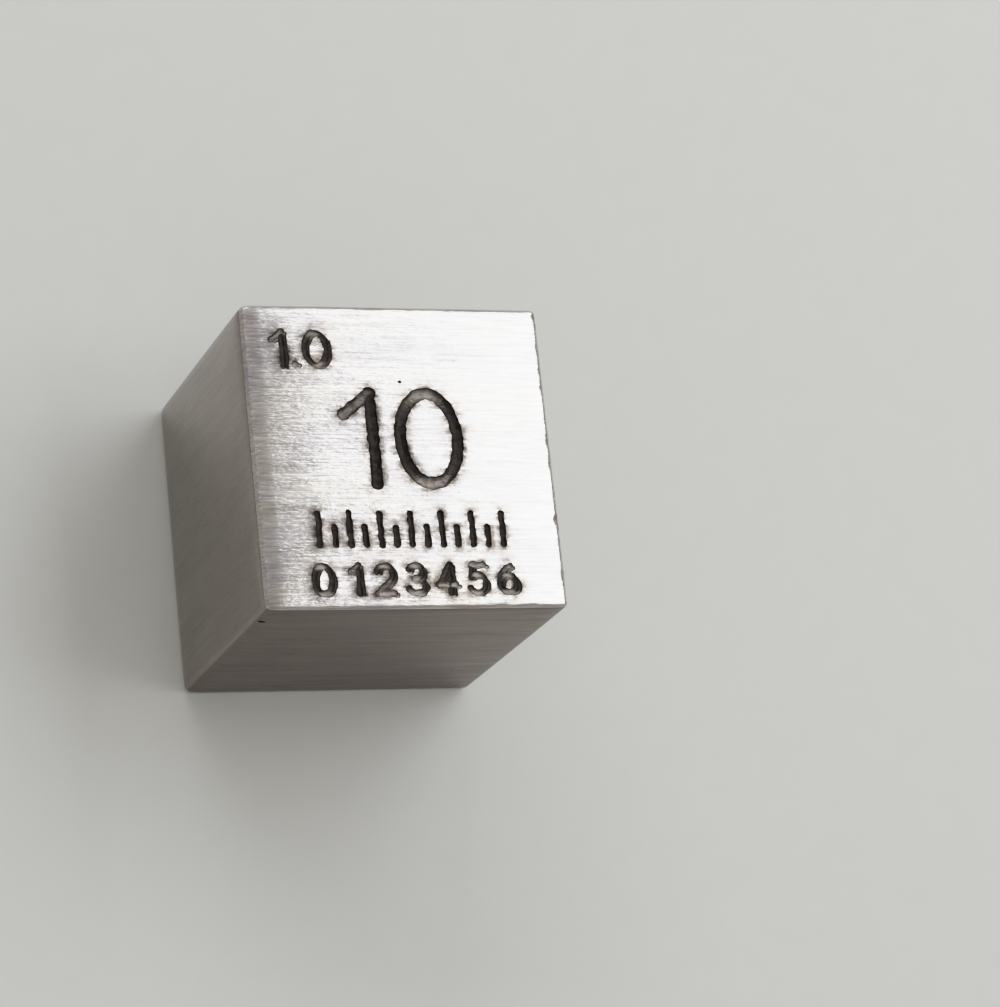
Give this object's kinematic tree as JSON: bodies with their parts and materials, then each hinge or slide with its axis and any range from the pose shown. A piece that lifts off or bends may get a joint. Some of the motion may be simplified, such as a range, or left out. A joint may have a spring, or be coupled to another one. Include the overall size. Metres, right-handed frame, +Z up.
{
  "type": "engraved bismuth metal cube",
  "caption": "Small solid cube of ground bismuth metal with engraved figures and a millimetre scale, a density sample that rests on any face.",
  "frame": {"origin": "centre of the underside, on the surface that the cube rests on", "axes": "+Z up, square to the face with the scale; +X along the direction in which that face's figures read; +Y towards the tops of the figures"},
  "size_m": [0.01, 0.01, 0.01],
  "materials": {
    "ground_bismuth": "satin"
  },
  "bodies": {
    "root": {"bismuth_cube": "ground_bismuth"}
  },
  "joints": []
}
